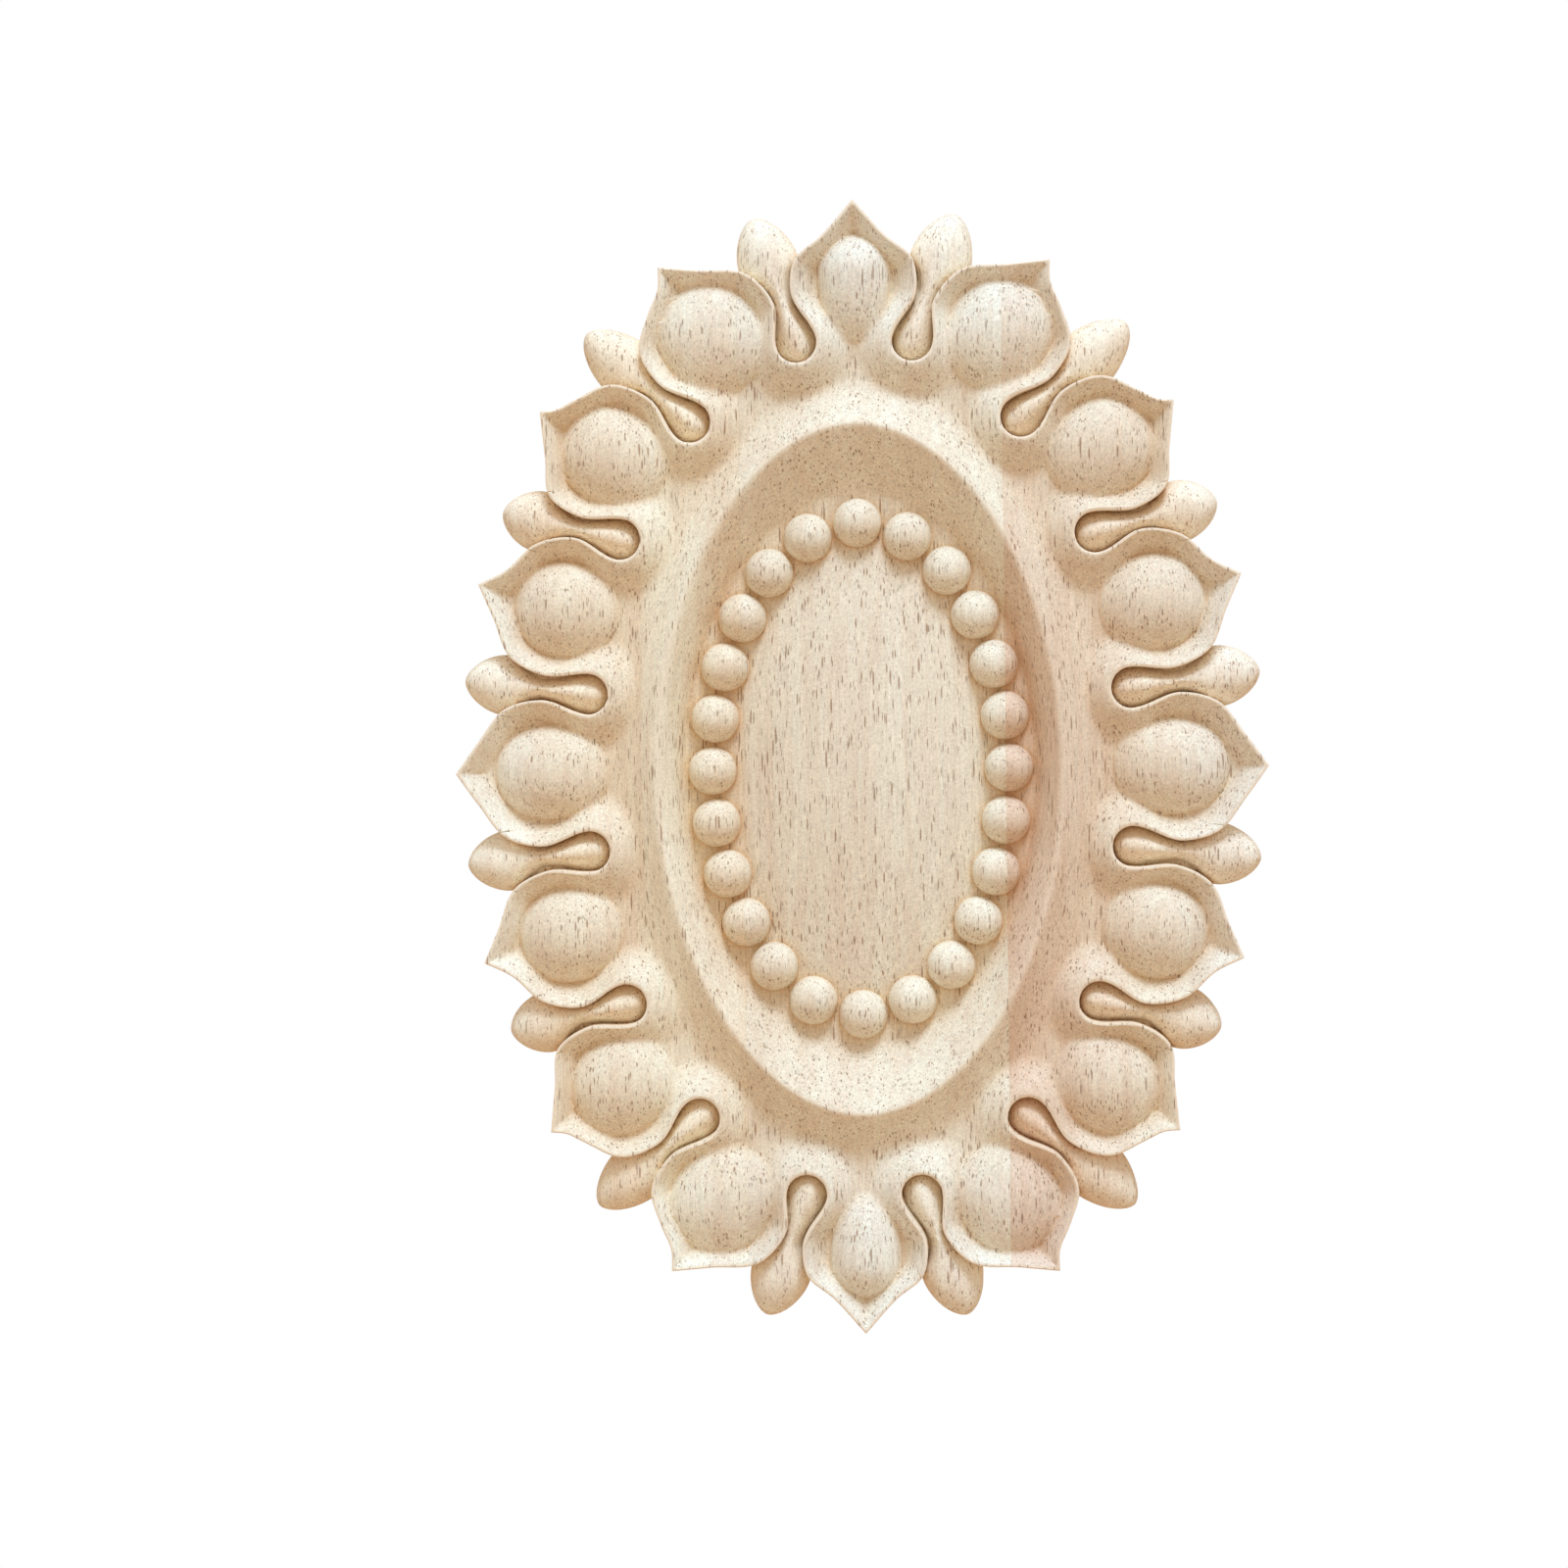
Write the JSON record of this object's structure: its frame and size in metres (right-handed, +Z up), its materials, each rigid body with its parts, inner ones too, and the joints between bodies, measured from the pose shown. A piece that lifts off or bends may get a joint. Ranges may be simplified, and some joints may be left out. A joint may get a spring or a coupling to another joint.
{
  "type": "carved wood applique",
  "caption": "Oval carved wood onlay with pointed cupped petals and buds round a raised rim, a ring of beads and a plain domed field; flat back for gluing to a panel.",
  "frame": {"origin": "middle of the flat back, where the long and short axes of the oval cross", "axes": "+Z up along the oval's long axis, +X along its short axis, +Y out of the flat back into the wall; the carved face looks towards -Y"},
  "size_m": [0.215, 0.02, 0.3],
  "materials": {
    "bare_wood": "bare, finely sanded pale rubberwood with short dark pores"
  },
  "bodies": {
    "root": {"carved_applique": "bare_wood"}
  },
  "joints": []
}
